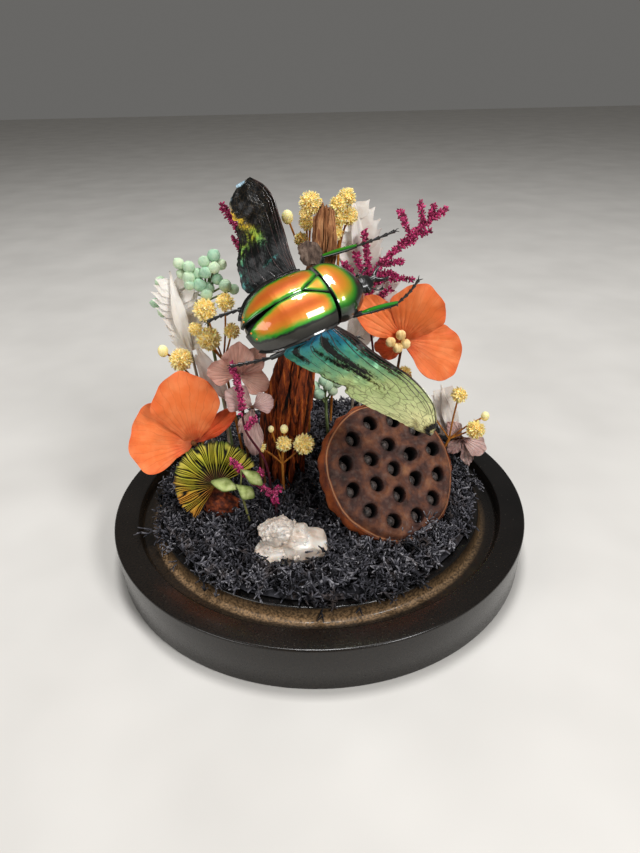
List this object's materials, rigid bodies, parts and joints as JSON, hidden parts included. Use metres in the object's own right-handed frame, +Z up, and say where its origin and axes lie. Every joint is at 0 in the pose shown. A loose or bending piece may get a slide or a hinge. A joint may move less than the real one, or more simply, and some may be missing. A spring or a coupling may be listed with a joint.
{
  "type": "beetle diorama",
  "caption": "Round black base with a mossy bed, driftwood, dried flowers, seed pod and crystals, carrying a mounted beetle with its wings spread.",
  "frame": {"origin": "centre of the base's underside", "axes": "+Z up; +X to the viewer's right; +Y away from the viewer, so the seed pod and the beetle's raised side face -Y"},
  "size_m": [0.18, 0.18, 0.1544],
  "materials": {
    "black_wood": "satin lacquer",
    "moss": "dry, matt",
    "driftwood": "weathered, matt",
    "bark": "matt",
    "pod": "dry, matt",
    "quartz": "milky crystal, glossy",
    "fungus": "dry, matt",
    "chitin": "black shell, gloss",
    "collar": "iridescent shell, gloss",
    "scutellum": "iridescent shell, gloss",
    "wing_case": "iridescent shell, gloss",
    "dark_membrane": "iridescent wing membrane",
    "gold_membrane": "iridescent wing membrane",
    "orange_petal": "dried petal, matt",
    "mauve_petal": "dried petal, matt",
    "pale_leaf": "felted, matt",
    "cream_bloom": "dried bloom, matt",
    "green_berry": "dusty, matt",
    "magenta_bloom": "dried bloom, matt",
    "green_leaf": "dried leaf, matt"
  },
  "bodies": {
    "root": {"base": "black_wood", "moss_bed": "moss", "driftwood": "driftwood", "bark_flake": "bark", "lotus_pod": "pod", "quartz_cluster": "quartz", "gilled_fungus": "fungus", "beetle_body": "chitin", "beetle_pronotum": "collar", "beetle_head": "chitin", "beetle_scutellum": "scutellum", "wing_case_left": "wing_case", "wing_case_right": "wing_case", "hindwing_left": "dark_membrane", "hindwing_right": "gold_membrane", "orange_hydrangea_left": "orange_petal", "orange_hydrangea_right": "orange_petal", "mauve_floret_upper": "mauve_petal", "mauve_floret_lower": "mauve_petal", "mauve_floret_right": "mauve_petal", "pale_leaf_left": "pale_leaf", "pale_leaf_lower_left": "pale_leaf", "pale_leaf_back": "pale_leaf", "pale_leaf_centre": "pale_leaf", "pale_leaf_right": "pale_leaf", "cream_spray_left": "cream_bloom", "cream_spray_far_left": "cream_bloom", "cream_spray_top": "cream_bloom", "cream_spray_back": "cream_bloom", "cream_spray_front": "cream_bloom", "cream_spray_right": "cream_bloom", "green_berries_left": "green_berry", "green_berries_centre": "green_berry", "magenta_spray_right": "magenta_bloom", "magenta_spray_left": "magenta_bloom", "magenta_spray_front": "magenta_bloom", "magenta_spray_middle": "magenta_bloom", "green_leaf_sprig": "green_leaf"}
  },
  "joints": []
}
